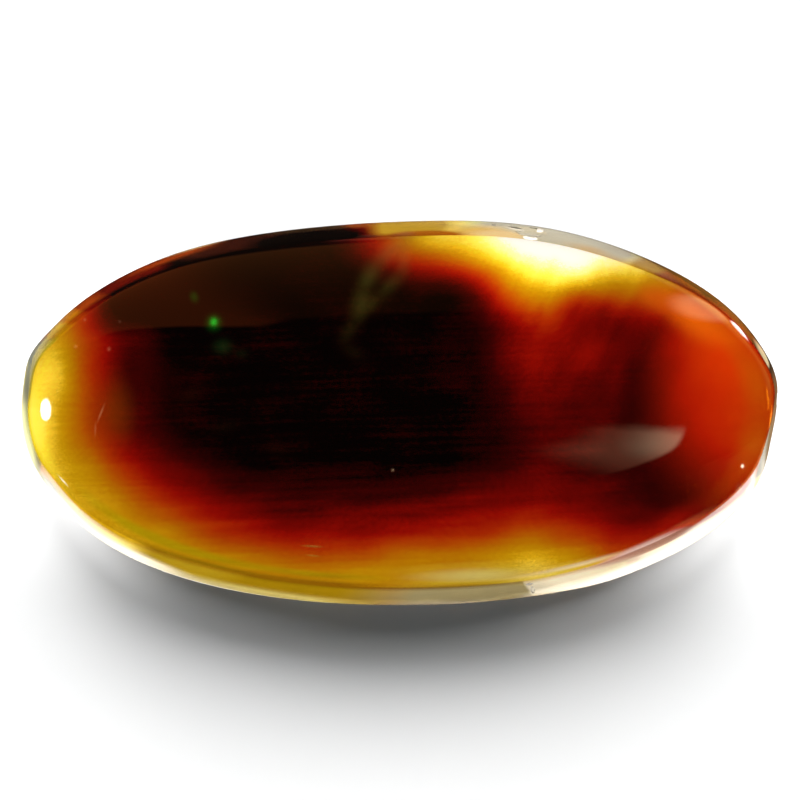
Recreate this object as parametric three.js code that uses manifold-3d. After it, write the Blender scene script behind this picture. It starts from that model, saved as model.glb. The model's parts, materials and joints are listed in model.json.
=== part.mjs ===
// A polished fire agate: one piece of see-through, iron-stained chalcedony, ground by hand into
// a long oval cabochon. It has a high rounded dome, a steep girdle wall that leans in towards
// the top, and a flat base with a narrow bevel, on which it rests. The oval is a little uneven,
// and the edge has a few small shell-shaped chips.
//
// Millimetres, +Z up, +X along the stone. The origin is under the middle of the stone, in the
// plane of its flat base.
import * as THREE from "three";
import { mergeVertices } from "three/addons/utils/BufferGeometryUtils.js";
import Module from "manifold-3d";

const LENGTH = 20.0;
const WIDTH = 10.2;
const HEIGHT = 4.7;

// The oval as seen from above is a superellipse: 2 would be a plain ellipse.
const OVAL_POWER = 2.2;

// The side, from the base up: how far each edge lies inside the widest line of the girdle,
// along the stone and across it, and how high it is.
const BASE_INSET = 0.3;
const BEVEL_TOP_INSET = 0.06;
const BEVEL_HEIGHT = 0.26;
const GIRDLE_HEIGHT = 0.45;
const SHOULDER_INSET_ALONG = 0.27;
const SHOULDER_INSET_ACROSS = 0.47;
const SHOULDER_HEIGHT = 1.7;

// Where the grinding wheel left the oval uneven: the place as a degree round the oval from +X
// towards +Y, how many degrees it spreads to each side, and how far it stands out.
const OVAL_UNEVENNESS = [
  { at: 9, spread: 8, out: 0.07 },
  { at: 70, spread: 16, out: 0.12 },
  { at: 106, spread: 20, out: -0.1 },
  { at: 138, spread: 14, out: -0.06 },
  { at: 165, spread: 7, out: 0.13 },
  { at: 178, spread: 8, out: 0.04 },
  { at: 203, spread: 9, out: -0.08 },
  { at: 230, spread: 16, out: 0.05 },
  { at: 300, spread: 7, out: 0.05 },
  { at: 353, spread: 9, out: -0.12 },
];

// The dome's edge isn't quite even with the oval: it comes closer to it at the +X end, and stays
// further in at three corners. Written in the same way.
const SHOULDER_UNEVENNESS = [
  { at: 0, spread: 16, out: 0.12 },
  { at: 152, spread: 14, out: -0.1 },
  { at: 232, spread: 20, out: -0.1 },
  { at: 290, spread: 8, out: 0.06 },
  { at: 310, spread: 12, out: -0.12 },
];

// Shell-shaped chips out of the edge, each a shallow scoop: the degree round the oval, the
// height of its middle, its half length, half height and depth, and its lean from upright.
const CHIPS = [
  { at: 71.5, height: 1.58, halfLength: 0.4, halfHeight: 0.24, depth: 0.14, lean: 40 },
  { at: 74, height: 0.85, halfLength: 0.3, halfHeight: 0.18, depth: 0.1, lean: 20 },
  { at: 288, height: 1.45, halfLength: 0.36, halfHeight: 0.32, depth: 0.12, lean: 30 },
  { at: 3, height: 0.6, halfLength: 0.16, halfHeight: 0.26, depth: 0.1, lean: 5 },
];

const STEPS_ROUND = 112;
const DOME_RINGS = 18;
const CHIP_ROUNDNESS = 3;
const MERGE_DISTANCE = 1e-4;

const AGATE_COLOUR = 0x6e1c06;
const AGATE_ROUGHNESS = 0.06;

// How far the uneven grinding pushes an edge out, in mm, at an angle round the oval.
function unevennessAt(degree, bumps) {
  let out = 0;
  for (const bump of bumps) {
    const away = ((((degree - bump.at) % 360) + 540) % 360) - 180;
    out += bump.out * Math.exp(-((away / bump.spread) ** 2));
  }
  return out;
}

// One point of the oval with the given half axes, pushed out by the unevenness there.
function ovalPoint(degree, halfLength, halfWidth, out) {
  const turn = THREE.MathUtils.degToRad(degree);
  const bend = (value) => Math.sign(value) * Math.abs(value) ** (2 / OVAL_POWER);
  const x = halfLength * bend(Math.cos(turn));
  const y = halfWidth * bend(Math.sin(turn));
  const grow = 1 + out / Math.hypot(x, y);
  return [x * grow, y * grow];
}

// A level ring of points at a height, on an oval inset from the widest line of the girdle.
function ring(insetAlong, insetAcross, height, bumps = OVAL_UNEVENNESS, scale = 1) {
  const halfLength = (LENGTH / 2 - insetAlong) * scale;
  const halfWidth = (WIDTH / 2 - insetAcross) * scale;
  const points = [];
  for (let i = 0; i < STEPS_ROUND; i += 1) {
    const degree = (360 * i) / STEPS_ROUND;
    const out = unevennessAt(degree, bumps) * scale;
    points.push([...ovalPoint(degree, halfLength, halfWidth, out), height]);
  }
  return points;
}

// A ring of the dome: the shoulder, shrunk by a scale and lifted onto the dome.
function domeRing(scale) {
  const bumps = [...OVAL_UNEVENNESS, ...SHOULDER_UNEVENNESS];
  return ring(SHOULDER_INSET_ALONG, SHOULDER_INSET_ACROSS, domeHeight(scale), bumps, scale);
}

// The dome's height over the shoulder: a round arc from shoulder to shoulder across the stone.
function domeHeight(scale) {
  const rise = HEIGHT - SHOULDER_HEIGHT;
  const halfWidth = WIDTH / 2 - SHOULDER_INSET_ACROSS;
  const radius = (halfWidth ** 2 + rise ** 2) / (2 * rise);
  return SHOULDER_HEIGHT + Math.sqrt(radius ** 2 - (halfWidth * scale) ** 2) - (radius - rise);
}

// The rings of the stone from the base to just under the top of the dome.
function stoneRings() {
  const rings = [
    ring(BASE_INSET, BASE_INSET, 0),
    ring(BEVEL_TOP_INSET, BEVEL_TOP_INSET, BEVEL_HEIGHT),
    ring(0, 0, GIRDLE_HEIGHT),
  ];
  for (let i = 0; i < DOME_RINGS; i += 1) {
    rings.push(domeRing(Math.cos((Math.PI / 2) * (i / DOME_RINGS))));
  }
  return rings;
}

// A closed mesh over the rings: fans over the base and the top, and bands between the rings.
function stoneGeometry() {
  const rings = stoneRings();
  const points = [[0, 0, 0], ...rings.flat(), [0, 0, HEIGHT]];
  const top = points.length - 1;
  const at = (level, i) => 1 + level * STEPS_ROUND + (i % STEPS_ROUND);
  const faces = [];
  for (let i = 0; i < STEPS_ROUND; i += 1) {
    faces.push(0, at(0, i + 1), at(0, i));
    for (let level = 0; level < rings.length - 1; level += 1) {
      faces.push(at(level, i), at(level, i + 1), at(level + 1, i + 1));
      faces.push(at(level, i), at(level + 1, i + 1), at(level + 1, i));
    }
    faces.push(at(rings.length - 1, i), at(rings.length - 1, i + 1), top);
  }
  const geometry = new THREE.BufferGeometry();
  geometry.setAttribute("position", new THREE.Float32BufferAttribute(points.flat(), 3));
  geometry.setIndex(faces);
  return geometry;
}

// The scoop that a chip takes out: a flattened ball lying in the wall, its short axis outwards.
function chipGeometry(chip) {
  const out = unevennessAt(chip.at, OVAL_UNEVENNESS);
  const [x, y] = ovalPoint(chip.at, LENGTH / 2, WIDTH / 2, out);
  const wallSlope = SHOULDER_INSET_ACROSS / (SHOULDER_HEIGHT - GIRDLE_HEIGHT);
  const inset = wallSlope * (chip.height - GIRDLE_HEIGHT);
  const outwards = Math.atan2(y / (WIDTH / 2) ** 2, x / (LENGTH / 2) ** 2);
  const scoop = new THREE.IcosahedronGeometry(1, CHIP_ROUNDNESS);
  scoop.scale(chip.depth, chip.halfLength, chip.halfHeight);
  scoop.rotateY(-THREE.MathUtils.degToRad(chip.lean));
  scoop.rotateZ(outwards);
  scoop.translate(x - Math.cos(outwards) * inset, y - Math.sin(outwards) * inset, chip.height);
  return scoop;
}

const wasm = await Module();
wasm.setup();

// A closed geometry as a solid that can be cut.
function solidOf(geometry) {
  const bare = new THREE.BufferGeometry();
  bare.setAttribute("position", geometry.getAttribute("position"));
  bare.setIndex(geometry.index);
  const merged = mergeVertices(bare, MERGE_DISTANCE);
  return new wasm.Manifold(
    new wasm.Mesh({
      numProp: 3,
      vertProperties: new Float32Array(merged.getAttribute("position").array),
      triVerts: new Uint32Array(merged.index.array),
    }),
  );
}

function geometryOf(solid) {
  const mesh = solid.getMesh();
  const geometry = new THREE.BufferGeometry();
  geometry.setAttribute("position", new THREE.Float32BufferAttribute(mesh.vertProperties, 3));
  geometry.setIndex(Array.from(mesh.triVerts));
  geometry.computeVertexNormals();
  return geometry;
}

// The uneven oval isn't quite centred, so the stone is moved until its middle is on the origin.
function centred(geometry) {
  geometry.computeBoundingBox();
  const middle = geometry.boundingBox.getCenter(new THREE.Vector3());
  return geometry.translate(-middle.x, -middle.y, 0);
}

function makeCabochon() {
  let solid = solidOf(stoneGeometry());
  for (const chip of CHIPS) {
    solid = solid.subtract(solidOf(chipGeometry(chip)));
  }
  const material = new THREE.MeshStandardMaterial({
    color: AGATE_COLOUR,
    roughness: AGATE_ROUGHNESS,
    metalness: 0,
  });
  const stone = new THREE.Mesh(centred(geometryOf(solid)), material);
  stone.name = "cabochon";
  return stone;
}

const specimen = new THREE.Group();
specimen.add(makeCabochon());

export default specimen;
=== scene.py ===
import json
import math

import bpy
import numpy as np
from mathutils import Euler, Matrix, Vector

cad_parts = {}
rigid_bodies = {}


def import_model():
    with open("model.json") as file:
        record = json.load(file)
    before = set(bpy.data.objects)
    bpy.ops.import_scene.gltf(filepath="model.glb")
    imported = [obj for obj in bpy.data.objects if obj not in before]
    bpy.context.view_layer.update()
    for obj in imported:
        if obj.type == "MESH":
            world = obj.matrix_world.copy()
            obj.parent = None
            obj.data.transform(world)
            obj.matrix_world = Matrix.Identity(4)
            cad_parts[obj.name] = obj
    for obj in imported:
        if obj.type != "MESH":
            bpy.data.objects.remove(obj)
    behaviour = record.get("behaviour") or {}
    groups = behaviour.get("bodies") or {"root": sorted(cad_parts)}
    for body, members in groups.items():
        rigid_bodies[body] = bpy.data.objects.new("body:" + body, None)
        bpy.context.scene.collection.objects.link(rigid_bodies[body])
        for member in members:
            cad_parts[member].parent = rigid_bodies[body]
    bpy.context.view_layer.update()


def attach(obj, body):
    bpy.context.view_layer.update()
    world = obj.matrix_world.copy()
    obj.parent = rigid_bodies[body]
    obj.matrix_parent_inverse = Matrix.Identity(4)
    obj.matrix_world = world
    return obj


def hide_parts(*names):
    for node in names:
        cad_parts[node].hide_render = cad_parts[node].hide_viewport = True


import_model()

# The fire agate
# One piece of see-through chalcedony with an iron stain and a few sparks of fire in it. It is
# ground by hand into a long oval with a high dome, a steep wall that leans in and a flat base
# with a narrow bevel, and polished all over. Its edge has a few small shell-shaped chips.
MM = 0.001
LENGTH = 20.0 * MM
WIDTH = 10.2 * MM
HEIGHT = 4.7 * MM
OVAL_POWER = 2.2
SHOULDER_HEIGHT = 1.7 * MM
SHOULDER_INSET_ALONG = 0.27 * MM
SHOULDER_INSET_ACROSS = 0.47 * MM

# Each edge of the side, from the base up: inset along, inset across, height.
SIDE_EDGES = [
    (0.3 * MM, 0.3 * MM, 0),
    (0.06 * MM, 0.06 * MM, 0.26 * MM),
    (0, 0, 0.45 * MM),
]

# Where the grinding wheel left the oval uneven: degree round from +X, spread to each side in
# degrees, and how far it stands out.
OVAL_UNEVENNESS = [
    (9, 8, 0.07 * MM),
    (70, 16, 0.12 * MM),
    (106, 20, -0.1 * MM),
    (138, 14, -0.06 * MM),
    (165, 7, 0.13 * MM),
    (178, 8, 0.04 * MM),
    (203, 9, -0.08 * MM),
    (230, 16, 0.05 * MM),
    (300, 7, 0.05 * MM),
    (353, 9, -0.12 * MM),
]

# The same for the dome's edge, added to the oval's.
SHOULDER_UNEVENNESS = [
    (0, 16, 0.12 * MM),
    (152, 14, -0.1 * MM),
    (232, 20, -0.1 * MM),
    (290, 8, 0.06 * MM),
    (316, 24, -0.16 * MM),
    (34, 13, 0.09 * MM),
]

# Shell-shaped chips: degree round from +X, height of the middle, half length, half height,
# depth, lean from upright in degrees, and how frosted and pale the break is; the paleness is
# partly frost and partly painted glints that the chips catch.
CHIPS = [
    (72.3, 1.05 * MM, 0.46 * MM, 0.44 * MM, 0.09 * MM, 22, 0.06),
    (70.8, 0.8 * MM, 0.11 * MM, 0.12 * MM, 0.1 * MM, 10, 1),
    (72.1, 1.52 * MM, 0.2 * MM, 0.17 * MM, 0.1 * MM, 40, 0.9),
    (74.4, 0.95 * MM, 0.28 * MM, 0.14 * MM, 0.06 * MM, 15, 0.3),
    (77.7, 0.8 * MM, 0.07 * MM, 0.07 * MM, 0.06 * MM, 0, 0.6),
    (73.5, 0.45 * MM, 0.09 * MM, 0.06 * MM, 0.08 * MM, 0, 0),
    (288.5, 1.0 * MM, 0.05 * MM, 0.3 * MM, 0.05 * MM, 18, 0.5),
    (288.1, 1.42 * MM, 0.09 * MM, 0.07 * MM, 0.06 * MM, 30, 0.8),
    (3, 0.6 * MM, 0.2 * MM, 0.3 * MM, 0.22 * MM, 5, 0.1),
]

STEPS_ROUND = 288
DOME_RINGS = 48
EDGE_ROUNDING = 0.035 * MM
SHOULDER_ROUNDING = 0.14 * MM


def grinding_unevenness(degree, bumps):
    out = 0
    for at, spread, push in bumps:
        away = (degree - at + 540) % 360 - 180
        out = out + push * np.exp(-((away / spread) ** 2))
    return out


def oval_point(degree, half_length, half_width, out):
    """A place on the oval with these half axes, pushed out by the uneven grinding."""
    turn = np.radians(degree)
    x = half_length * np.sign(np.cos(turn)) * np.abs(np.cos(turn)) ** (2 / OVAL_POWER)
    y = half_width * np.sign(np.sin(turn)) * np.abs(np.sin(turn)) ** (2 / OVAL_POWER)
    grow = 1 + out / np.hypot(x, y)
    return x * grow, y * grow


# Every ring of the stone from the base up: half length, half width, height, and how much of the
# oval's and of the shoulder's unevenness it has. The wall is ground a little round.
half_ovals = []
for along, across, height in SIDE_EDGES:
    half_ovals.append((LENGTH / 2 - along, WIDTH / 2 - across, height, 1, 0))
half_ovals.append((
    LENGTH / 2 - SHOULDER_INSET_ALONG, WIDTH / 2 - SHOULDER_INSET_ACROSS, SHOULDER_HEIGHT, 1, 1,
))
NARROW_FACE_STEPS = (0.15, 0.5, 0.85, 1)
WALL_STEPS = (0.06, 0.18, 0.3, 0.42, 0.54, 0.66, 0.76, 0.84, 1)
WALL_ROUNDNESS = 0.24
rings = half_ovals[:1]
for below, above in zip(half_ovals, half_ovals[1:]):
    on_the_wall = above is half_ovals[-1]
    for step in WALL_STEPS if on_the_wall else NARROW_FACE_STEPS:
        share = [step] * 5
        if on_the_wall:
            share[:2] = [step - WALL_ROUNDNESS * step * (1 - step)] * 2
        rings.append(tuple(b + (a - b) * part for b, a, part in zip(below, above, share)))

# The dome is a round arc across the stone, and shrinks evenly towards its top. It starts with
# a wider step, which leaves room for the rounding of the shoulder.
dome_rise = HEIGHT - SHOULDER_HEIGHT
shoulder_length, shoulder_width = rings[-1][:2]
dome_radius = (shoulder_width**2 + dome_rise**2) / (2 * dome_rise)
dome_slope = math.asin(shoulder_width / dome_radius)
for i in range(2, DOME_RINGS):
    slope = dome_slope * (1 - i / DOME_RINGS)
    scale = dome_radius * math.sin(slope) / shoulder_width
    height = HEIGHT - dome_radius * (1 - math.cos(slope))
    rings.append((shoulder_length * scale, shoulder_width * scale, height, scale, scale))

# The base is a round disc. It is drawn up ring by ring into the wall and the dome.
bpy.ops.object.select_all(action="DESELECT")
bpy.ops.mesh.primitive_circle_add(vertices=STEPS_ROUND, radius=rings[0][0], fill_type="TRIFAN")
stone = bpy.context.object
stone.name = "fire_agate_cabochon"
stone.data.name = "fire_agate_cabochon"
bpy.ops.object.mode_set(mode="EDIT")
bpy.ops.transform.resize(value=(1, rings[0][1] / rings[0][0], 1))
for below, ring in zip(rings, rings[1:]):
    bpy.ops.mesh.extrude_region_move(
        TRANSFORM_OT_translate={"value": (0, 0, ring[2] - below[2])}
    )
    bpy.ops.transform.resize(value=(ring[0] / below[0], ring[1] / below[1], 1))
bpy.ops.mesh.select_all(action="SELECT")
bpy.ops.mesh.remove_doubles(threshold=0.0001 * MM)
bpy.ops.mesh.normals_make_consistent(inside=False)
bpy.ops.object.mode_set(mode="OBJECT")

# Each ring is ground to its uneven oval, and the middle of the last one becomes the dome's top.
ring_heights = np.array([ring[2] for ring in rings])
for vertex in stone.data.vertices:
    x, y, z = vertex.co
    if math.hypot(x, y) < 0.001 * MM:
        vertex.co.z = HEIGHT if z > SHOULDER_HEIGHT else 0
        continue
    half_length, half_width, height, oval, shoulder = rings[int(np.abs(ring_heights - z).argmin())]
    degree = math.degrees(math.atan2(y / half_width, x / half_length)) % 360
    out = oval * grinding_unevenness(degree, OVAL_UNEVENNESS)
    out += shoulder * grinding_unevenness(degree, SHOULDER_UNEVENNESS)
    vertex.co.x, vertex.co.y = oval_point(degree, half_length, half_width, out)

# The polish has just taken the sharpness off the edges of the side, and more off the shoulder.
for edge_height, rounding, segments in (
    (SIDE_EDGES[0][2], EDGE_ROUNDING, 3),
    (SIDE_EDGES[1][2], EDGE_ROUNDING, 3),
    (SIDE_EDGES[2][2], EDGE_ROUNDING, 3),
    (SHOULDER_HEIGHT, SHOULDER_ROUNDING, 6),
):
    bpy.ops.object.mode_set(mode="EDIT")
    bpy.ops.mesh.select_mode(type="EDGE")
    bpy.ops.mesh.select_all(action="DESELECT")
    bpy.ops.object.mode_set(mode="OBJECT")
    for edge in stone.data.edges:
        ends = [stone.data.vertices[i].co for i in edge.vertices]
        on_edge = max(abs(end.z - edge_height) for end in ends) < 0.0001 * MM
        around = min(math.hypot(end.x, end.y) for end in ends) > shoulder_width / 2
        edge.select = on_edge and around
    bpy.ops.object.mode_set(mode="EDIT")
    bpy.ops.mesh.bevel(offset=rounding, segments=segments, profile=0.5)
    bpy.ops.object.mode_set(mode="OBJECT")


scoops = []


def cut_chip(at, height, half_length, half_height, depth, lean, frost_and_glint):
    """Takes one shallow shell-shaped scoop, with faint ripples in it, out of the wall."""
    out = grinding_unevenness(at, OVAL_UNEVENNESS)
    x, y = oval_point(at, LENGTH / 2, WIDTH / 2, out)
    girdle_height = SIDE_EDGES[-1][2]
    wall_slope = SHOULDER_INSET_ACROSS / (SHOULDER_HEIGHT - girdle_height)
    inset = wall_slope * (height - girdle_height)
    outwards = math.atan2(y / (WIDTH / 2) ** 2, x / (LENGTH / 2) ** 2)
    turn = Euler((0, -math.radians(lean), outwards))
    place = Vector((x - math.cos(outwards) * inset, y - math.sin(outwards) * inset, height))
    place += turn.to_matrix() @ Vector((depth / 2, 0, 0))
    size = (depth, half_length, half_height)
    bpy.ops.mesh.primitive_ico_sphere_add(
        subdivisions=5, radius=1, location=place, rotation=turn, scale=size
    )
    scoop = bpy.context.object
    for vertex in scoop.data.vertices:
        along, up = vertex.co.y / half_length, vertex.co.z / half_height
        ripples = 0.02 * math.sin(19 * math.hypot(along - 0.7, up + 0.5))
        lumps = 0.06 * math.sin(4.1 * along + at) * math.sin(3.3 * up + at)
        vertex.co *= 1 + ripples + lumps
    cut = stone.modifiers.new("chip", "BOOLEAN")
    cut.operation = "DIFFERENCE"
    cut.solver = "MANIFOLD"
    cut.object = scoop
    bpy.context.view_layer.objects.active = stone
    bpy.ops.object.modifier_apply(modifier=cut.name)
    bpy.data.objects.remove(scoop, do_unlink=True)
    scoops.append((Matrix.LocRotScale(place, turn, size).inverted(), frost_and_glint))


for chip in CHIPS:
    cut_chip(*chip)

# The faces in the chips were never polished, and an attribute tells the material how frosted
# and pale each of them is, partly frost and partly painted glints.
frost_and_glint_marks = stone.data.attributes.new("fresh_break_and_glint", "FLOAT", "FACE")
for face in stone.data.polygons:
    for scoop, frost_and_glint in scoops:
        from_middle = [(scoop @ stone.data.vertices[i].co).length for i in face.vertices]
        if max(from_middle) < 1.1 and min(from_middle) > 0.88:
            frost_and_glint_marks.data[face.index].value = max(frost_and_glint, frost_and_glint_marks.data[face.index].value)

# The uneven oval isn't quite centred, so it is moved until its middle is where the CAD has it.
corners = np.array([vertex.co for vertex in stone.data.vertices])
middle = (corners.min(axis=0) + corners.max(axis=0)) / 2
for vertex in stone.data.vertices:
    vertex.co.x -= middle[0]
    vertex.co.y -= middle[1]

bpy.ops.object.select_all(action="DESELECT")
stone.select_set(True)
bpy.context.view_layer.objects.active = stone
bpy.ops.object.shade_smooth_by_angle(angle=math.radians(35))

# The stone's material: clear, polished chalcedony, stained by iron from straw yellow to black.
agate = bpy.data.materials.new("iron_stained_chalcedony")
agate.use_nodes = True
polish = agate.node_tree.nodes["Principled BSDF"]
polish.inputs["IOR"].default_value = 1.54


tree = agate.node_tree


def add(kind, *inputs, **settings):
    """Adds a node to the tree, sets it, and fills its inputs in order with values or links."""
    node = tree.nodes.new(kind)
    for name, value in settings.items():
        setattr(node, name, value)
    for socket, value in zip(node.inputs, inputs):
        if isinstance(value, bpy.types.NodeSocket):
            tree.links.new(value, socket)
        elif value is not None:
            socket.default_value = value
    return node.outputs[0]


def maths(operation, *values):
    return add("ShaderNodeMath", *values, operation=operation)


def fade(value, start, end, low=0.0, high=1.0):
    """Goes softly from low to high while the value goes from start to end."""
    return add("ShaderNodeMapRange", value, start, end, low, high,
               interpolation_type="SMOOTHSTEP")


def vector_maths(operation, *values):
    outputs = add("ShaderNodeVectorMath", *values, operation=operation).node.outputs
    return outputs["Value" if operation in ("DOT_PRODUCT", "LENGTH") else "Vector"]


def turned(place, turn, shift_along, shift_across, along, across):
    """A flat place turned and shifted, then stretched. Its third part is 1, which shifts it."""
    cos, sin = math.cos(math.radians(turn)), math.sin(math.radians(turn))
    lengthways = (along * cos, along * sin, along * shift_along)
    sideways = (-across * sin, across * cos, across * shift_across)
    return add("ShaderNodeCombineXYZ", vector_maths("DOT_PRODUCT", place, lengthways),
               vector_maths("DOT_PRODUCT", place, sideways), 0.0)


def patch(place, x, y, along, across, turn, amount):
    """A soft oval patch: the amount in its middle, and nothing from its rim outwards."""
    if turn == 0:
        inside = vector_maths("MULTIPLY_ADD", place, (1 / along, 1 / across, 0),
                              (-x / along, -y / across, 0))
    else:
        cos, sin = math.cos(math.radians(turn)), math.sin(math.radians(turn))
        inside = turned(place, turn, -x * cos - y * sin, x * sin - y * cos, 1 / along, 1 / across)
    return fade(vector_maths("LENGTH", inside), 1, 0, 0, amount)


def tint(colour, towards, amount):
    """Mixes one colour towards another."""
    mix = add("ShaderNodeMix", amount, data_type="RGBA").node
    for socket, value in ((mix.inputs[6], colour), (mix.inputs[7], towards)):
        if isinstance(value, bpy.types.NodeSocket):
            tree.links.new(value, socket)
        else:
            socket.default_value = value
    return mix.outputs[2]


def shown(red, green, blue):
    """A colour given as it shows on a screen, 0 to 255, made linear."""
    linear = []
    for value in (red / 255, green / 255, blue / 255):
        linear.append(value / 12.92 if value <= 0.04045 else ((value + 0.055) / 1.055) ** 2.4)
    return (*linear, 1)


# Places in the stone are in millimetres. The dome bends the view, so the base is seen larger
# than it is, and the stain on it is drawn smaller to lie under the stain of the dome.
in_mm = vector_maths("MULTIPLY", add("ShaderNodeTexCoord").node.outputs["Object"],
                     (1000, 1000, 1000))
parts = add("ShaderNodeSeparateXYZ", in_mm).node.outputs
z = parts["Z"]
on_base = fade(z, 0.2, 0.02)
x = maths("MULTIPLY", parts["X"], maths("MULTIPLY_ADD", on_base, 0.07, 1))
lifted_y = maths("MULTIPLY_ADD", z, 0.026, parts["Y"])
y = maths("MULTIPLY", lifted_y, maths("MULTIPLY_ADD", on_base, 0.42, 1))
seen = add("ShaderNodeCombineXYZ", x, y, 1.0)

# How clear the stone is, from 0 (black stain) to 1 (clear): dark along the middle, clearer
# towards the rim, least so on the far side.
beyond_left = maths("MINIMUM", maths("ADD", x, 4.4), 0.0)
off_axis = maths("SUBTRACT", y, 0.4)
near_side = maths("MINIMUM", off_axis, 0.0)
far_side = maths("MAXIMUM", off_axis, 0.0)
off_axis = maths("MULTIPLY_ADD", far_side, 0.25, near_side)
distance = maths("SQRT", maths("MULTIPLY_ADD", beyond_left, beyond_left,
                               maths("MULTIPLY", off_axis, off_axis)))
clearness = maths("ADD", fade(distance, 2.4, 4.9, 0, 0.57), fade(distance, 1.5, 2.6, 0, 0.08))
clearness = maths("MULTIPLY", clearness, fade(x, 3.0, 7.5, 1, 0.2))
clearness = maths("ADD", clearness, fade(x, 1.3, 3.7, 0, 0.13))
slanted = maths("MULTIPLY_ADD", y, 0.4, x)
clearness = maths("ADD", clearness, fade(slanted, 6.5, 9.0, 0, 0.31))

# Clearer and darker patches in it: x, y, half length, half width, turn in degrees, amount.
CLEAR_AND_DARK_PATCHES = [
    (-10.4, 0.2, 3.9, 6.0, 0, 0.15),  # yellow left end
    (-6.0, -2.6, 3.4, 2.2, -25, 0.16),  # golden corner, near left
    (-7.3, -0.6, 1.5, 2.6, 0, 0.04),  # and above it
    (-6.4, 3.45, 3.2, 1.45, 22, -0.45),  # dark corner, far left
    (-5.2, 4.0, 2.0, 0.6, 10, -0.12),  # and along the far edge
    (4.3, 4.7, 2.9, 3.0, 0, 0.9),  # the window on the far side
    (1.3, 5.1, 3.6, 2.2, 0, 0.85),  # its left wing
    (2.8, 3.3, 1.5, 1.3, 0, 0.18),  # its left corner
    (4.75, 2.8, 1.0, 1.2, 0, -0.17),  # the notch in it
    (6.3, 4.1, 2.5, 2.2, 20, 0.36),  # its right wing
    (7.3, 2.6, 1.7, 1.2, 30, -0.08),  # red under it
    (3.7, 2.0, 1.9, 2.8, -15, 0.15),  # its foot
    (4.4, -3.9, 3.4, 1.6, 9, 0.1),  # bright near side
    (5.6, -3.2, 1.9, 1.0, 20, -0.06),  # redder to its right
    (3.2, -4.5, 2.0, 1.0, 5, -0.12),  # duller towards its edge
    (6.9, -3.3, 1.6, 0.9, 25, 0.08),  # red, near right
    (8.0, -2.0, 2.7, 1.3, 15, -0.11),  # dark cloud, near right
    (6.3, -1.6, 2.6, 1.5, 10, -0.06),  # and to its left
    (6.5, 0.3, 1.2, 3.6, -20, -0.055),  # dark streak at the right
    (5.1, 1.8, 1.0, 1.4, 20, 0.08),  # red glow beside it
    (-2.2, -3.4, 3.4, 1.0, -3, -0.07),  # browner near side
    (-5.9, 0.0, 1.7, 2.8, 0, 0.02),  # brown in the black, left
    (0.5, -2.5, 4.5, 0.9, 0, 0.035),  # and on the near side
    (-8.6, -0.4, 0.8, 2.2, 8, -0.05),  # duller inside the left tip
    (-9.1, 1.2, 0.8, 1.0, 0, 0.06),  # yellower over it
    (-7.3, 0.4, 0.7, 1.8, 0, -0.05),  # darker edge of the core, left
    (1.7, -2.1, 1.7, 0.9, 0, 0.06),  # softer edge, near side
    (1.0, -3.5, 2.4, 0.8, 0, 0.05),  # more orange below it
    (7.5, -2.75, 1.0, 0.6, 25, 0.09),  # red, near right corner
    (1.8, 4.05, 1.0, 0.7, 0, 0.08),  # yellower left side of the window
    (5.6, 3.65, 0.9, 0.6, -15, -0.08),  # duller right side of it
    (3.5, 3.15, 1.0, 0.5, 0, -0.03),  # and its foot
    (-7.0, 2.7, 0.9, 1.2, 20, 0.12),  # dark red, far left
    (4.3, -3.3, 1.1, 0.5, 0, -0.06),  # redder over the bright near side
    (1.4, 1.5, 0.9, 1.6, 0, 0.03),  # softer edge of the core, right
    (2.6, -0.4, 1.2, 2.0, 0, -0.03),  # and darker below it
    (4.4, 1.6, 2.4, 1.2, 0, 0.03),  # redder right side
    (-8.3, 1.4, 0.8, 1.4, 0, -0.03),  # more orange, left
    (-4.0, -3.6, 3.6, 1.0, -12, -0.03),  # browner, near left
    (-9.9, -0.4, 1.0, 1.9, 0, 0.1),  # bright left tip
    (-9.0, 2.0, 1.5, 1.2, 35, -0.06),  # olive, far left
]
for clear_patch in CLEAR_AND_DARK_PATCHES:
    clearness = maths("ADD", clearness, patch(seen, *clear_patch))

# The stain is cloudy and streaky on a small scale: turn in degrees, how many to the millimetre
# along and across that turn, how much finer detail, where it is strongest (x, y, half length,
# half width), and amount.
CLOUDS_AND_STREAKS = [
    (0, 0.7, 0.9, 1, 0, 0, 30, 30, 0.055),  # clouds all over
    (2, 0.22, 8.0, 1, -1, -0.5, 14, 7, 0.065),  # fine fibres along the stone
    (3, 0.35, 3.2, 1, -1, -3.4, 14, 3.4, 0.1),  # streaks along the near side
    (62, 0.5, 1.7, 1, 5.5, 2.2, 7, 5, 0.08),  # slanting streaks, far right
    (35, 0.5, 1.6, 1, 7.0, -2.4, 5, 3, 0.07),  # and near right
    (0, 8, 9, 0, 0, 0, 30, 30, 0.026),  # grain
    (0, 22, 25, 0, 0, 0, 30, 30, 0.034),  # fine grain
]
not_black = fade(clearness, -0.1, 0.3, 0.5, 1)
for turn, along, across, detail, *where, amount in CLOUDS_AND_STREAKS:
    place = turned(seen, turn, turn, amount, along, across)
    cloud = add("ShaderNodeTexNoise", place, None, 1.0, detail, 0.5)
    cloud = maths("SUBTRACT", cloud, 0.5)
    strength = maths("MULTIPLY", patch(seen, *where, 0, amount * 2), not_black)
    clearness = maths("MULTIPLY_ADD", cloud, strength, clearness)

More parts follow.
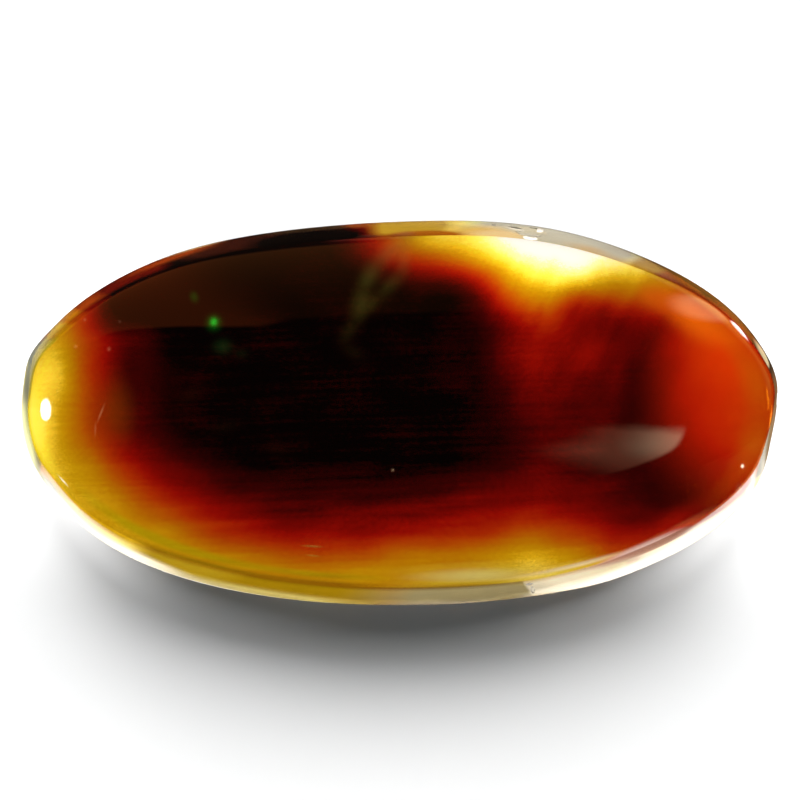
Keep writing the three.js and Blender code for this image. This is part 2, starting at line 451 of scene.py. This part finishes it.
STAIN_COLOURS = [
    (0.0, shown(2, 0, 0)),
    (0.1, shown(50, 1, 1)),
    (0.2, shown(95, 3, 1)),
    (0.3, shown(132, 9, 2)),
    (0.4, shown(152, 38, 2)),
    (0.5, shown(160, 72, 2)),
    (0.6, shown(165, 108, 2)),
    (0.7, shown(182, 140, 8)),
    (0.8, shown(238, 200, 50)),
    (0.9, shown(253, 240, 120)),
    (1.0, shown(254, 253, 235)),
]
stain = add("ShaderNodeValToRGB", clearness)
stain_colours = stain.node.color_ramp
while len(stain_colours.elements) < len(STAIN_COLOURS):
    stain_colours.elements.new(1)
for stop, (position, colour) in zip(stain_colours.elements, STAIN_COLOURS):
    stop.position = position
    stop.color = colour

# By the window on the far side the stain is painted lighter: partly a clearer stain, and partly
# painted light for the light that the dome focuses there.
clearer_stain_and_painted_focus = add("ShaderNodeMix", patch(seen, 2.9, 3.8, 3.0, 2.3, 0, 1), data_type="RGBA",
               blend_type="MULTIPLY", clamp_result=True).node
tree.links.new(stain, clearer_stain_and_painted_focus.inputs[6])
clearer_stain_and_painted_focus.inputs[7].default_value = (1.7, 1.7, 1.6, 1)
stain = clearer_stain_and_painted_focus.outputs[2]

# A red glow at the right end, a brown haze at the left, and paler olive along the near edge.
STAIN_TINTS = [
    (8.5, 0.7, 2.6, 4.2, 0, 0.7, shown(186, 32, 2)),
    (8.7, 1.8, 1.5, 1.7, 0, 0.6, shown(214, 56, 2)),
    (7.75, 2.65, 1.7, 0.75, -36, 0.9, shown(218, 98, 8)),
    (6.75, 3.15, 0.8, 0.55, -30, 0.7, shown(190, 78, 8)),
    (-7.6, 0.0, 0.9, 1.5, 0, 0.6, shown(112, 46, 2)),
    (2.1, -4.5, 2.7, 0.5, 1, 1.0, shown(194, 190, 116)),
    (4.5, -4.42, 1.7, 0.2, 12, 0.9, shown(206, 182, 120)),
    (6.9, -3.83, 1.9, 0.29, 25, 1.2, shown(188, 156, 150)),
]
for *where, colour in STAIN_TINTS:
    stain = tint(stain, colour, patch(seen, *where))

# Lines along the edge of the dome: degree round, share of the way from the middle to the edge,
# half spreads, amount and colour. A brown line runs inside the near edge, with lines of colour at
# the ends and the near side; the rest is painted light: lighter painted highlights inside the near
# shoulder, painted shade where it bends, and painted reflections along the shoulder.
from_middle = maths("POWER", maths("DIVIDE", maths("ABSOLUTE", parts["X"]), 9.73), OVAL_POWER)
across = maths("POWER", maths("DIVIDE", maths("ABSOLUTE", parts["Y"]), 4.63), OVAL_POWER)
from_middle = maths("POWER", maths("ADD", from_middle, across), 1 / OVAL_POWER)
upright = maths("MULTIPLY", parts["Y"], LENGTH / WIDTH)
degree = maths("DEGREES", maths("ARCTAN2", upright, parts["X"]))
degree = maths("FLOORED_MODULO", degree, 360.0)
round_the_dome = add("ShaderNodeCombineXYZ", degree, from_middle, 1.0)
EDGE_STAIN_AND_PAINTED_LIGHT_LINES = [
    (236, 0.85, 34, 0.06, 0.3, shown(130, 48, 2)),
    # Painted highlights: lighter olive lines inside the near shoulder.
    (229, 0.945, 32, 0.034, 1.3, shown(142, 132, 2)),
    (256, 0.945, 16, 0.03, 0.9, shown(136, 128, 4)),
    # Painted shade: dark lines where the near shoulder bends.
    (238, 0.99, 24, 0.028, 1.2, shown(105, 82, 2)),
    (256, 0.992, 18, 0.028, 1.2, shown(107, 66, 2)),
    (279, 1.0, 14, 0.024, 1.1, shown(140, 112, 62)),
    (184, 0.985, 28, 0.04, 1.0, shown(255, 252, 60)),
    # Painted reflections: white and pink lines along the near right shoulder.
    (305, 0.99, 21, 0.035, 1.8, shown(255, 255, 255)),
    (318, 0.985, 13, 0.035, 1.6, shown(235, 215, 215)),
    (116, 0.982, 9, 0.035, 1.0, shown(6, 1, 0)),
    (12, 0.965, 24, 0.06, 0.7, shown(172, 100, 6)),
    (348, 0.965, 22, 0.06, 0.7, shown(172, 100, 6)),
    # A painted reflection: a grey line under the far edge.
    (97, 0.992, 12, 0.022, 0.6, shown(150, 112, 96)),
]
over_base = maths("SUBTRACT", 1.0, on_base)
edge_stain_and_painted_light = stain
for at, share, spread, half_width, amount, colour in EDGE_STAIN_AND_PAINTED_LIGHT_LINES:
    edge_stain_and_painted_light = tint(edge_stain_and_painted_light, colour, patch(round_the_dome, at, share, spread, half_width, 0, amount))
stain = tint(stain, edge_stain_and_painted_light, over_base)

# Round the edge of the base the stone is clear, so the light seen in the wall crosses only one
# stained face, and the colour counts twice there.
from_base_edge = vector_maths("LENGTH", vector_maths("MULTIPLY", in_mm, (1 / 9.2, 1 / 3.73, 0)))
base_edge = maths("MULTIPLY", fade(from_base_edge, 1, 1.06), on_base)
stain = tint(stain, shown(255, 252, 240), base_edge)

# The colours in the wall: degree round the oval from +X, height, half spread in degrees, half
# height, amount and colour.
WALL_COLOURS = [
    (190, 1.1, 20, 1.6, 3, shown(255, 250, 88)),  # bright yellow, left end
    (212, 1.2, 20, 1.6, 3, shown(252, 228, 90)),  # golden, near left
    (205, 0.45, 30, 0.75, 3, shown(255, 254, 236)),  # white foot under it
    (237, 1.0, 14, 1.6, 3, shown(176, 148, 26)),  # olive, near left
    (226, 0.45, 15, 0.8, 3, shown(254, 248, 220)),  # white foot under it
    (255, 1.0, 18, 1.6, 3, shown(160, 128, 6)),  # olive brown, near side
    (247, 0.42, 24, 0.74, 2, shown(202, 188, 114)),  # pale foot under it
    (281, 1.0, 22, 1.8, 1.6, shown(152, 142, 106)),  # grey, near side
    (276, 0.35, 14, 0.55, 1.6, shown(158, 148, 130)),  # grey foot under it
    (301, 1.4, 10, 1.3, 3, shown(226, 214, 176)),  # cream, near right
    (322, 1.0, 18, 1.6, 3, shown(253, 246, 232)),  # white, near right
    (306, 0.4, 20, 0.9, 3, shown(255, 255, 252)),  # white foot under them
    (314, 1.62, 16, 0.4, 3, shown(192, 156, 140)),  # lavender line over them
    (344, 1.0, 12, 1.6, 3, shown(253, 242, 212)),  # white, right end
    (332, 1.6, 14, 0.5, 3, shown(255, 252, 240)),  # and over it
    (169, 1.0, 12, 1.6, 3, shown(182, 180, 112)),  # grey olive, left end
    (160, 1.0, 6, 1.6, 3, shown(204, 200, 108)),  # olive yellow, far left
    (154, 1.0, 5, 1.6, 3, shown(228, 194, 42)),  # ochre, far left
    (149, 1.0, 5, 1.6, 3, shown(210, 136, 8)),  # and deeper
    (144, 1.0, 6, 1.6, 3, shown(172, 68, 12)),  # orange brown, far left
    (136, 1.0, 9, 1.6, 3, shown(105, 14, 3)),  # dark red, far left
    (117, 1.0, 12, 1.6, 3, shown(56, 20, 12)),  # brown, far side
    (128, 0.65, 12, 0.6, 1.6, shown(165, 66, 14)),  # orange foot beside it
    (123, 0.4, 8, 0.34, 2, shown(220, 186, 132)),  # pale foot under that
    (103, 0.5, 12, 0.5, 2.5, shown(66, 46, 28)),  # grey brown, far side
    (105, 1.4, 13, 0.8, 3, shown(4, 2, 1)),  # black streak over it
    (96, 0.5, 4, 0.5, 2, shown(150, 70, 25)),  # orange foot at its end
    (88, 1.0, 8, 1.6, 3, shown(194, 156, 44)),  # straw, far side
    (66, 1.0, 18, 1.6, 3, shown(190, 186, 168)),  # clear grey, far right
    (77.5, 1.5, 8, 0.9, 1.3, shown(226, 186, 90)),  # yellow over it
    (86, 1.64, 9, 0.42, 2.5, shown(168, 96, 18)),  # orange line beside that
    (74, 1.55, 7, 0.5, 1.5, shown(235, 205, 150)),  # paler by the chips
    (57, 1.55, 9, 0.6, 1.4, shown(196, 170, 128)),  # rose line over it
    (40, 1.0, 13, 1.6, 3, shown(158, 76, 3)),  # orange brown, far right
    (49, 1.1, 4, 1.6, 2, shown(178, 136, 18)),  # olive between them
    (55, 0.9, 5, 1.0, 1.4, shown(182, 176, 158)),  # grey beside it
    (26, 0.8, 9, 1.2, 2, shown(150, 70, 20)),  # brown, right end
    (10, 1.0, 8, 1.6, 3, shown(190, 104, 36)),  # darker, right end
    (-2, 1.0, 8, 1.6, 2, shown(214, 160, 96)),  # tan, right end
    (358, 1.0, 8, 1.6, 2, shown(214, 160, 96)),  # and on the near side of it
]
on_wall = maths("MULTIPLY", fade(z, 1.72, 1.66), fade(z, 0.05, 0.2))
round_the_wall = add("ShaderNodeCombineXYZ", degree, z, 1.0)
wall = stain
for at, height, spread, half_height, amount, colour in WALL_COLOURS:
    wall = tint(wall, colour, patch(round_the_wall, at, height, spread, half_height, 0, amount))
# Past the chip on the near side the wall is whiter.
past_chip = maths("MULTIPLY", fade(degree, 289.9, 290.7), fade(degree, 312, 296))
wall = tint(wall, shown(252, 248, 236), maths("MULTIPLY", past_chip, 0.6))
wall = vector_maths("MULTIPLY", wall, wall)
stain = tint(stain, wall, on_wall)

# The clear stone itself is faintly amber, and takes this share of the light on its way through.
AMBER = (1, 0.955, 0.86)
stain = vector_maths("MULTIPLY", stain, AMBER)

# Fire and veils, thin layers just under the dome that throw light back, and painted glints on the
# polish: x, y, half length, half width, turn in degrees, amount and colour.
VEIL_OLIVE = shown(74, 74, 26)
FIRE_GREEN = shown(14, 176, 40)
PALE_GREEN = shown(30, 84, 36)
SPECK = shown(150, 125, 95)
PAINTED_WHITE_GLINT = shown(250, 232, 205)
PAINTED_GOLD_GLINT = shown(238, 190, 95)
FIRE_VEILS_AND_GLINTS = [
    (-0.23, 4.25, 0.9, 0.42, 42, 0.42, VEIL_OLIVE),
    (-0.79, 3.59, 0.8, 0.46, 59, 0.36, VEIL_OLIVE),
    (-1.02, 2.85, 0.9, 0.5, 78, 0.34, VEIL_OLIVE),
    (0.11, 4.05, 0.8, 0.34, 84, 0.32, VEIL_OLIVE),
    (-0.23, 3.36, 0.8, 0.36, 45, 0.26, VEIL_OLIVE),
    (-0.76, 2.83, 0.6, 0.36, 45, 0.24, VEIL_OLIVE),
    (-0.5, 3.1, 0.9, 0.7, 60, 0.12, VEIL_OLIVE),
    (-1.32, 2.14, 0.7, 0.4, 59, 0.2, VEIL_OLIVE),
    (-1.21, 1.6, 0.6, 0.36, -30, 0.14, VEIL_OLIVE),
    (-4.5, -0.35, 0.7, 0.3, 12, 0.1, VEIL_OLIVE),
    (-3.2, -0.95, 0.6, 0.3, -8, 0.08, VEIL_OLIVE),
    (-5.4, 0.5, 0.5, 0.3, 30, 0.06, VEIL_OLIVE),
    (-4.84, 2.36, 0.38, 0.4, 0, 0.24, FIRE_GREEN),
    (-4.84, 2.38, 0.2, 0.22, 0, 0.6, FIRE_GREEN),
    (-5.37, 3.04, 0.22, 0.3, 20, 0.16, FIRE_GREEN),
    (-4.6, 1.74, 0.5, 0.4, 0, 0.26, PALE_GREEN),
    (-4.1, 1.55, 0.35, 0.25, 0, 0.14, PALE_GREEN),
    (-7.33, 2.4, 0.07, 0.07, 0, 0.2, SPECK),
    (-8.28, 2.46, 0.08, 0.08, 0, 0.25, SPECK),
    (-7.6, 1.68, 0.09, 0.1, 0, 0.25, SPECK),
    (-8.5, 1.75, 0.09, 0.09, 0, 0.25, SPECK),
    # A painted glint: a small pale dot in the middle of the dome.
    (-0.18, -1.47, 0.08, 0.08, 0, 0.8, SPECK),
    # Painted glints at the near right: a white dot and a pale ring.
    (9.0, -1.39, 0.08, 0.1, 0, 1, PAINTED_WHITE_GLINT),
    (8.93, -1.95, 0.16, 0.2, 0, 0.25, SPECK),
    (-7.8, 0.0, 0.4, 0.05, 68, 0.35, SPECK),
    (-7.95, -0.42, 0.3, 0.05, 88, 0.25, SPECK),
    # A painted glint: a thin white reflection at the near left.
    (-8.84, -1.78, 0.3, 0.04, -48, 1, PAINTED_WHITE_GLINT),
    # Painted glints: two thin pale reflections on the near side.
    (-2.27, -3.47, 0.36, 0.045, -3, 0.6, PAINTED_GOLD_GLINT),
    (-2.27, -3.72, 0.26, 0.04, -6, 0.4, PAINTED_GOLD_GLINT),
]
veils_and_glints = 0.0
fire_veils_and_glints = stain
for *where, amount, colour in FIRE_VEILS_AND_GLINTS:
    mark = patch(seen, *where, amount)
    fire_veils_and_glints = tint(fire_veils_and_glints, colour, mark)
    veils_and_glints = maths("MAXIMUM", veils_and_glints, mark)
stain = tint(stain, fire_veils_and_glints, over_base)
clear = maths("SUBTRACT", 1.0, maths("MULTIPLY", veils_and_glints, over_base))

# The chips are frosted and pale, and the paleness also serves as painted glints that the chips
# catch. Elsewhere the polish is even, with hair-fine scratches in a few directions and a little
# wear along the girdle.
chip_frost_and_glint = add("ShaderNodeAttribute", attribute_name="fresh_break_and_glint").node.outputs["Fac"]
stain = tint(stain, shown(250, 240, 228), maths("MULTIPLY", chip_frost_and_glint, 0.9))
clear = maths("MULTIPLY_ADD", maths("MULTIPLY", clear, chip_frost_and_glint), -0.6, clear)
SCRATCHES = [(0.3, 15, 0.012), (0.25, 75, 0.01), (0.2, -35, 0.01)]
scratched = 0.0
for along, turn, width in SCRATCHES:
    place = turned(seen, -turn, turn, 0, along, 11)
    wander = maths("SUBTRACT", add("ShaderNodeTexNoise", place, None, 1.0, 1.0, 0.4), 0.5)
    line = fade(maths("ABSOLUTE", wander), width, 0.0)
    scratched = maths("MAXIMUM", scratched, line)
cloudy = add("ShaderNodeTexNoise", in_mm, None, 1.5, 1.0, 0.6)
worn = maths("MULTIPLY", fade(z, 0.3, 0.44), fade(z, 0.62, 0.46))
rough = maths("MULTIPLY_ADD", cloudy, 0.02, 0.02)
rough = maths("MULTIPLY_ADD", scratched, 0.03, rough)
rough = maths("MULTIPLY_ADD", worn, 0.12, rough)
rough = maths("MAXIMUM", rough, fade(chip_frost_and_glint, 0, 0.6, 0, 0.4))
tree.links.new(stain, polish.inputs["Base Color"])
tree.links.new(clear, polish.inputs["Transmission Weight"])
tree.links.new(rough, polish.inputs["Roughness"])

# The surface waves a very little from the grinding, and the chips are crumbly.
waves = add("ShaderNodeTexNoise", in_mm, None, 0.9, 1.0, 0.4)
crumbs = add("ShaderNodeTexNoise", in_mm, None, 18.0, 0.0, 0.6)
relief = maths("MULTIPLY_ADD", maths("MULTIPLY", crumbs, chip_frost_and_glint), 3.0, waves)
BUMP_HEIGHT = 0.004 * MM
bump = add("ShaderNodeBump")
bump.node.inputs["Distance"].default_value = BUMP_HEIGHT
tree.links.new(relief, bump.node.inputs["Height"])
tree.links.new(bump, polish.inputs["Normal"])

stone.data.materials.clear()
stone.data.materials.append(agate)

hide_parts("cabochon")
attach(stone, "root")

# The table
# A plain white sheet that the stone lies on. It isn't part of the object.
bpy.ops.object.select_all(action="DESELECT")
bpy.ops.mesh.primitive_plane_add(size=2, location=(0, 0, -0.02 * MM))
table = bpy.context.object
table.name = "table"
paper = bpy.data.materials.new("white_paper")
paper.use_nodes = True
paper_finish = paper.node_tree.nodes["Principled BSDF"]
paper_finish.inputs["Base Color"].default_value = (0.87, 0.87, 0.87, 1)
paper_finish.inputs["Roughness"].default_value = 0.9
paper_finish.inputs["Specular IOR Level"].default_value = 0
table.data.materials.append(paper)
table.visible_glossy = False


# The lights
# A large soft light behind the stone throws its shadow towards the viewer. A glow from the
# sheet under the stone shines up through it, as daylight does through white paper.
def lamp(name, kind, energy, **settings):
    light = bpy.data.lights.new(name, kind)
    light.energy = energy
    for setting, value in settings.items():
        setattr(light, setting, value)
    holder = bpy.data.objects.new(name, light)
    bpy.context.collection.objects.link(holder)
    return holder


# Soft lights: name, brightness, size and elevation in degrees, and how far round from behind.
SOFT_LIGHTS = [
    ("light_behind", 4.1, 30, 34, 0, (1, 1, 1)),
    ("light_behind_left", 1.6, 28, 25, 50, (1, 1, 1)),
    ("light_behind_right", 2.0, 28, 26, -50, (1, 1, 1)),
    ("fill_light_in_front", 0.3, 60, 55, 180, (0.88, 0.97, 1)),
]
for name, brightness, size, height, side, colour in SOFT_LIGHTS:
    soft_light = lamp(name, "SUN", brightness, angle=math.radians(size), color=colour)
    soft_light.rotation_euler = (math.radians(height - 90), 0, math.radians(side))

# Small lamps high over the sheet brighten it beside the ends of the stone: x, y, radius of the
# pool of light in millimetres, and power.
POOL_LAMP_HEIGHT = 200 * MM
POOL_LAMPS = [
    (-8.5, 0.3, 4.4, 2.3),
    (8.5, -0.15, 4.6, 1.9),
    (-8.5, -2.85, 2.9, 0.45),
    (8.5, -2.85, 2.9, 0.45),
]
for number, (at_x, at_y, radius, power) in enumerate(POOL_LAMPS, 1):
    opening = 2 * math.atan(radius * MM / POOL_LAMP_HEIGHT)
    pool_lamp = lamp(f"pool_lamp_{number}", "SPOT", power, spot_size=opening, spot_blend=1,
                     shadow_soft_size=2 * MM)
    pool_lamp.location = (at_x * MM, at_y * MM, POOL_LAMP_HEIGHT)
for holder in bpy.data.objects:
    if holder.type == "LIGHT":
        holder.visible_glossy = False
        holder.visible_transmission = False

GLOW_LENGTH = 20.0 * MM
GLOW_WIDTH = 10.2 * MM
GLOW_BRIGHTNESS = 1.15
glow_area = math.pi * GLOW_LENGTH * GLOW_WIDTH / 4
glow = lamp("glow_through_paper", "AREA", GLOW_BRIGHTNESS * math.pi * glow_area,
            shape="ELLIPSE", size=GLOW_LENGTH, size_y=GLOW_WIDTH)
glow.location = (0, 0, -0.01 * MM)
glow.rotation_euler = (math.pi, 0, 0)
glow.visible_camera = False

# The room is dark, with a warm brown screen behind the stone. The polish mirrors it, and the
# windows, cards and white sheets in it: azimuth (120 to 480) and elevation in degrees, half
# width, half height, turn, how soft its edge is, colour, and how bright it is.
ROOM_SHADE = (0.02, 0.013, 0.01, 1)
SCREEN_BROWN = (0.2, 0.066, 0.02, 1)
SCREEN_DARK = (0.09, 0.032, 0.012, 1)
SCREEN_RED = (0.46, 0.095, 0.024, 1)
SCREEN_TOP = 34
SCREEN_FOOT = -39
WINDOWS = [
    (179.5, 7, 4.8, 3.4, 0, 0.2, (1, 1, 1), 40),  # small window, left
    (413, -17, 7.5, 16, 0, 0.25, (1, 0.72, 0.4), 2.3),  # low card, far right
    (401, -37, 3.5, 16, 0, 0.2, (1, 0.92, 0.88), 8.5),  # narrow white card, right
    (391, -70, 4, 4.5, 0, 0.3, (1, 0.8, 0.45), 1.5),  # a smaller one under it
    (205, -80, 34, 17, 0, 0.2, (1, 0.98, 0.66), 1.45),  # white sheet, left
    (234, -66, 24, 17, 0, 0.24, (1, 1, 0.96), 3.0),  # white sheet, near left
    (188, -70, 13, 9, 0, 0.35, (1, 0.97, 0.36), 1.3),  # yellow sheet, left
    (170, -69, 9, 9, 0, 0.4, (1, 0.96, 0.6), 0.55),  # grey sheet beside it
    (308, -58, 26, 15, 0, 0.12, (1, 0.99, 0.98), 2.6),  # white sheet, near right
    (336, -69, 13, 12, 0, 0.3, (1, 0.95, 0.82), 1.9),  # and at the right end
    (368, -74, 15, 12, 0, 0.4, (1, 0.52, 0.22), 0.34),  # tan sheet, right end
    (352, -73, 8, 9, 0, 0.5, (1, 0.68, 0.34), 0.4),  # paler one beside it
    (410, -66, 16, 10, 0, 0.4, (1, 0.44, 0.06), 0.4),  # brown sheet, far right
    (437, -58, 11, 12, 0, 0.4, (1, 0.98, 0.98), 0.55),  # grey sheet, far right
    (150, -64, 14, 10, 0, 0.4, (0.95, 1, 0.8), 0.6),  # grey sheet, far left
]
room = bpy.data.worlds.new("room")
bpy.context.scene.world = room
room.use_nodes = True
room.cycles_visibility.diffuse = False
room.cycles.sampling_method = "NONE"
tree = room.node_tree
direction = add("ShaderNodeSeparateXYZ", add("ShaderNodeTexCoord").node.outputs["Generated"])
direction = direction.node.outputs
azimuth = maths("DEGREES", maths("ARCTAN2", direction["Y"], direction["X"]))
azimuth = maths("ADD", maths("FLOORED_MODULO", maths("SUBTRACT", azimuth, 120), 360), 120)
elevation = maths("DEGREES", maths("ARCSINE", direction["Z"]))
from_behind = maths("DEGREES", maths("ARCTAN2", direction["X"], direction["Y"]))
bend = maths("POWER", maths("DIVIDE", maths("ABSOLUTE", maths("ADD", from_behind, 2)), 40), 4)
below_top = maths("ADD", elevation, maths("MULTIPLY", bend, 32))
below_top = maths("ADD", below_top, fade(from_behind, -22, -12, 0, 6))
behind = maths("MULTIPLY", fade(direction["Y"], -0.1, 0.2),
               fade(below_top, SCREEN_TOP + 2, SCREEN_TOP - 2))
behind = maths("MULTIPLY", behind, fade(elevation, SCREEN_FOOT - 2, SCREEN_FOOT + 2))
screen = tint(SCREEN_BROWN, SCREEN_DARK, fade(elevation, -25, 30))
screen = tint(screen, SCREEN_RED, fade(from_behind, -10, -26))
walls = tint(ROOM_SHADE, screen, behind)
place = add("ShaderNodeCombineXYZ", azimuth, elevation, 1.0)


def hang_light(walls, colour, brightness):
    light = add("ShaderNodeVectorMath", colour, operation="SCALE")
    tree.links.new(brightness, light.node.inputs["Scale"])
    return vector_maths("ADD", walls, light)


for at, height, half_width, half_height, turn, soft, colour, brightness in WINDOWS:
    window = patch(place, at, height, 2 * half_width, 2 * half_height, turn, 1)
    pane = fade(window, 0.5 - soft, 0.5 + soft, 0, brightness)
    walls = hang_light(walls, colour, pane)

# A window near right has straight sides. It is dim, and brightest at its low right corner.
pane = maths("MULTIPLY", fade(azimuth, 346.5, 344), fade(azimuth, 303, 322))
pane = maths("MULTIPLY", pane, maths("MULTIPLY", fade(elevation, 35, 37.5), fade(elevation, 63, 51)))
corner = patch(place, 343, 37, 26, 17, 0, 1)
walls = hang_light(walls, (1.0, 0.37, 0.2), maths("MULTIPLY", pane, 1.2))
walls = hang_light(walls, (1.0, 0.95, 0.6), maths("MULTIPLY", maths("MULTIPLY", pane, corner), 2.4))
tree.links.new(walls, tree.nodes["Background"].inputs["Color"])

# The camera
# It looks almost straight down, from just in front of the stone.
PICTURE_WIDTH = 800 / 37.745 * MM
CAMERA_DISTANCE = 180 * MM
CAMERA_ELEVATION = math.radians(88.5)
camera = bpy.data.cameras.new("camera")
camera.sensor_width = 36
camera.lens = camera.sensor_width * CAMERA_DISTANCE / PICTURE_WIDTH
camera.clip_start = 0.001
camera_holder = bpy.data.objects.new("camera", camera)
bpy.context.collection.objects.link(camera_holder)
LOOK_AT = (0.009 * MM, 0.336 * MM, 0.45 * MM)
camera_holder.location = (
    LOOK_AT[0],
    LOOK_AT[1] - CAMERA_DISTANCE * math.cos(CAMERA_ELEVATION),
    LOOK_AT[2] + CAMERA_DISTANCE * math.sin(CAMERA_ELEVATION),
)
camera_holder.rotation_euler = (math.pi / 2 - CAMERA_ELEVATION, 0, 0)
bpy.context.scene.camera = camera_holder
bpy.context.scene.view_settings.view_transform = "Standard"
